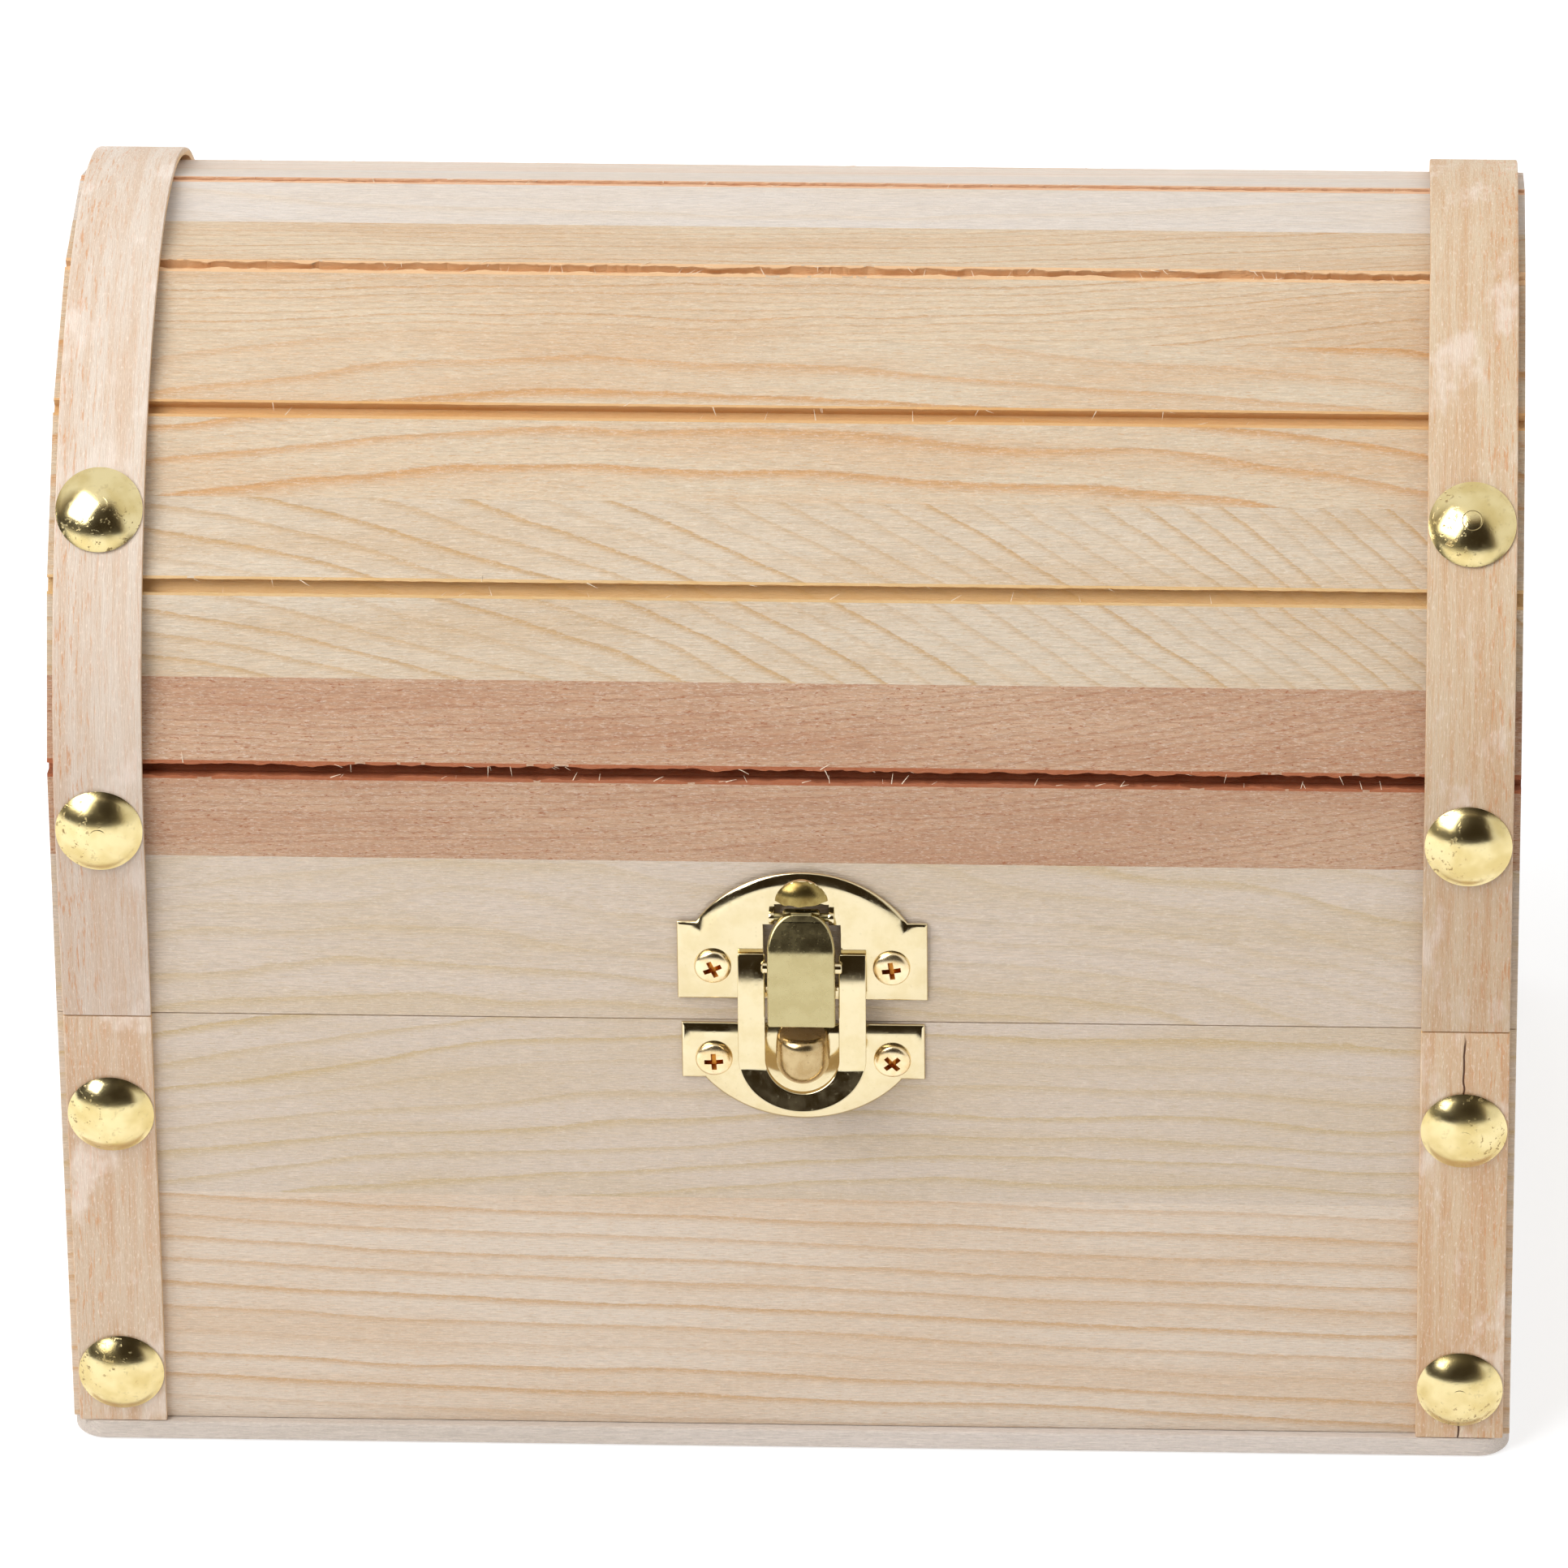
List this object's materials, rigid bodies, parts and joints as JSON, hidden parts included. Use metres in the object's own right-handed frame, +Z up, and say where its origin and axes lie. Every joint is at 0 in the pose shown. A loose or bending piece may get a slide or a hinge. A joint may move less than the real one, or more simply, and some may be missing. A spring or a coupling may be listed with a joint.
{
  "type": "wooden money box",
  "caption": "Treasure-chest money box of pine boards with a hinged kerf-bent domed lid, veneer straps, dome nails and a brass toggle latch on the front.",
  "frame": {"origin": "centre of the bottom board's underside", "axes": "+X along the width, to the right seen from the front; -Y towards the front with the latch; +Z up"},
  "size_m": [0.18, 0.1254, 0.1442],
  "materials": {
    "pine": "unfinished edge-glued pine, sawn and lightly sanded, bands of paler and redder wood",
    "veneer": "unfinished sliced veneer strip, grain along its length, small brown flecks",
    "brass": "bright brass plate on pressed steel, light handling marks"
  },
  "bodies": {
    "box": {"box_back": "pine", "box_bottom": "pine", "box_end_left": "pine", "box_end_right": "pine", "box_front": "pine", "box_strap_back_left": "veneer", "box_strap_back_right": "veneer", "box_strap_front_left": "veneer", "box_strap_front_right": "veneer", "hinge_left_box_leaf": "brass", "hinge_left_pin": "brass", "hinge_right_box_leaf": "brass", "hinge_right_pin": "brass", "hinge_screw_left_box_a": "brass", "hinge_screw_left_box_b": "brass", "hinge_screw_right_box_a": "brass", "hinge_screw_right_box_b": "brass", "latch_lower_plate": "brass", "latch_screw_lower_left": "brass", "latch_screw_lower_right": "brass", "nail_box_back_left_high": "brass", "nail_box_back_left_low": "brass", "nail_box_back_right_high": "brass", "nail_box_back_right_low": "brass", "nail_box_front_left_high": "brass", "nail_box_front_left_low": "brass", "nail_box_front_right_high": "brass", "nail_box_front_right_low": "brass"},
    "lid": {"hinge_left_lid_leaf": "brass", "hinge_right_lid_leaf": "brass", "hinge_screw_left_lid_a": "brass", "hinge_screw_left_lid_b": "brass", "hinge_screw_right_lid_a": "brass", "hinge_screw_right_lid_b": "brass", "latch_pin": "brass", "latch_screw_upper_left": "brass", "latch_screw_upper_right": "brass", "latch_upper_plate": "brass", "lid_board": "pine", "lid_end_left": "pine", "lid_end_right": "pine", "lid_strap_left": "veneer", "lid_strap_right": "veneer", "nail_lid_back_left_high": "brass", "nail_lid_back_left_low": "brass", "nail_lid_back_right_high": "brass", "nail_lid_back_right_low": "brass", "nail_lid_front_left_high": "brass", "nail_lid_front_left_low": "brass", "nail_lid_front_right_high": "brass", "nail_lid_front_right_low": "brass"},
    "latch_lever": {"latch_lever": "brass"},
    "latch_loop": {"latch_loop": "brass"}
  },
  "joints": [
    {"name": "lid_hinge", "type": "hinge", "parent": "box", "child": "lid", "pos_m": [0, 0.0597, 0.0622], "axis": [-1, 0, 0], "range_deg": [0, 110]},
    {"name": "latch_lever_pivot", "type": "hinge", "parent": "lid", "child": "latch_lever", "pos_m": [0.0022, -0.0595, 0.0778], "axis": [-1, 0, 0], "range_deg": [0, 80]},
    {"name": "latch_loop_pivot", "type": "hinge", "parent": "latch_lever", "child": "latch_loop", "pos_m": [0.0022, -0.0607, 0.0713], "axis": [-1, 0, 0], "range_deg": [-8, 100]}
  ]
}
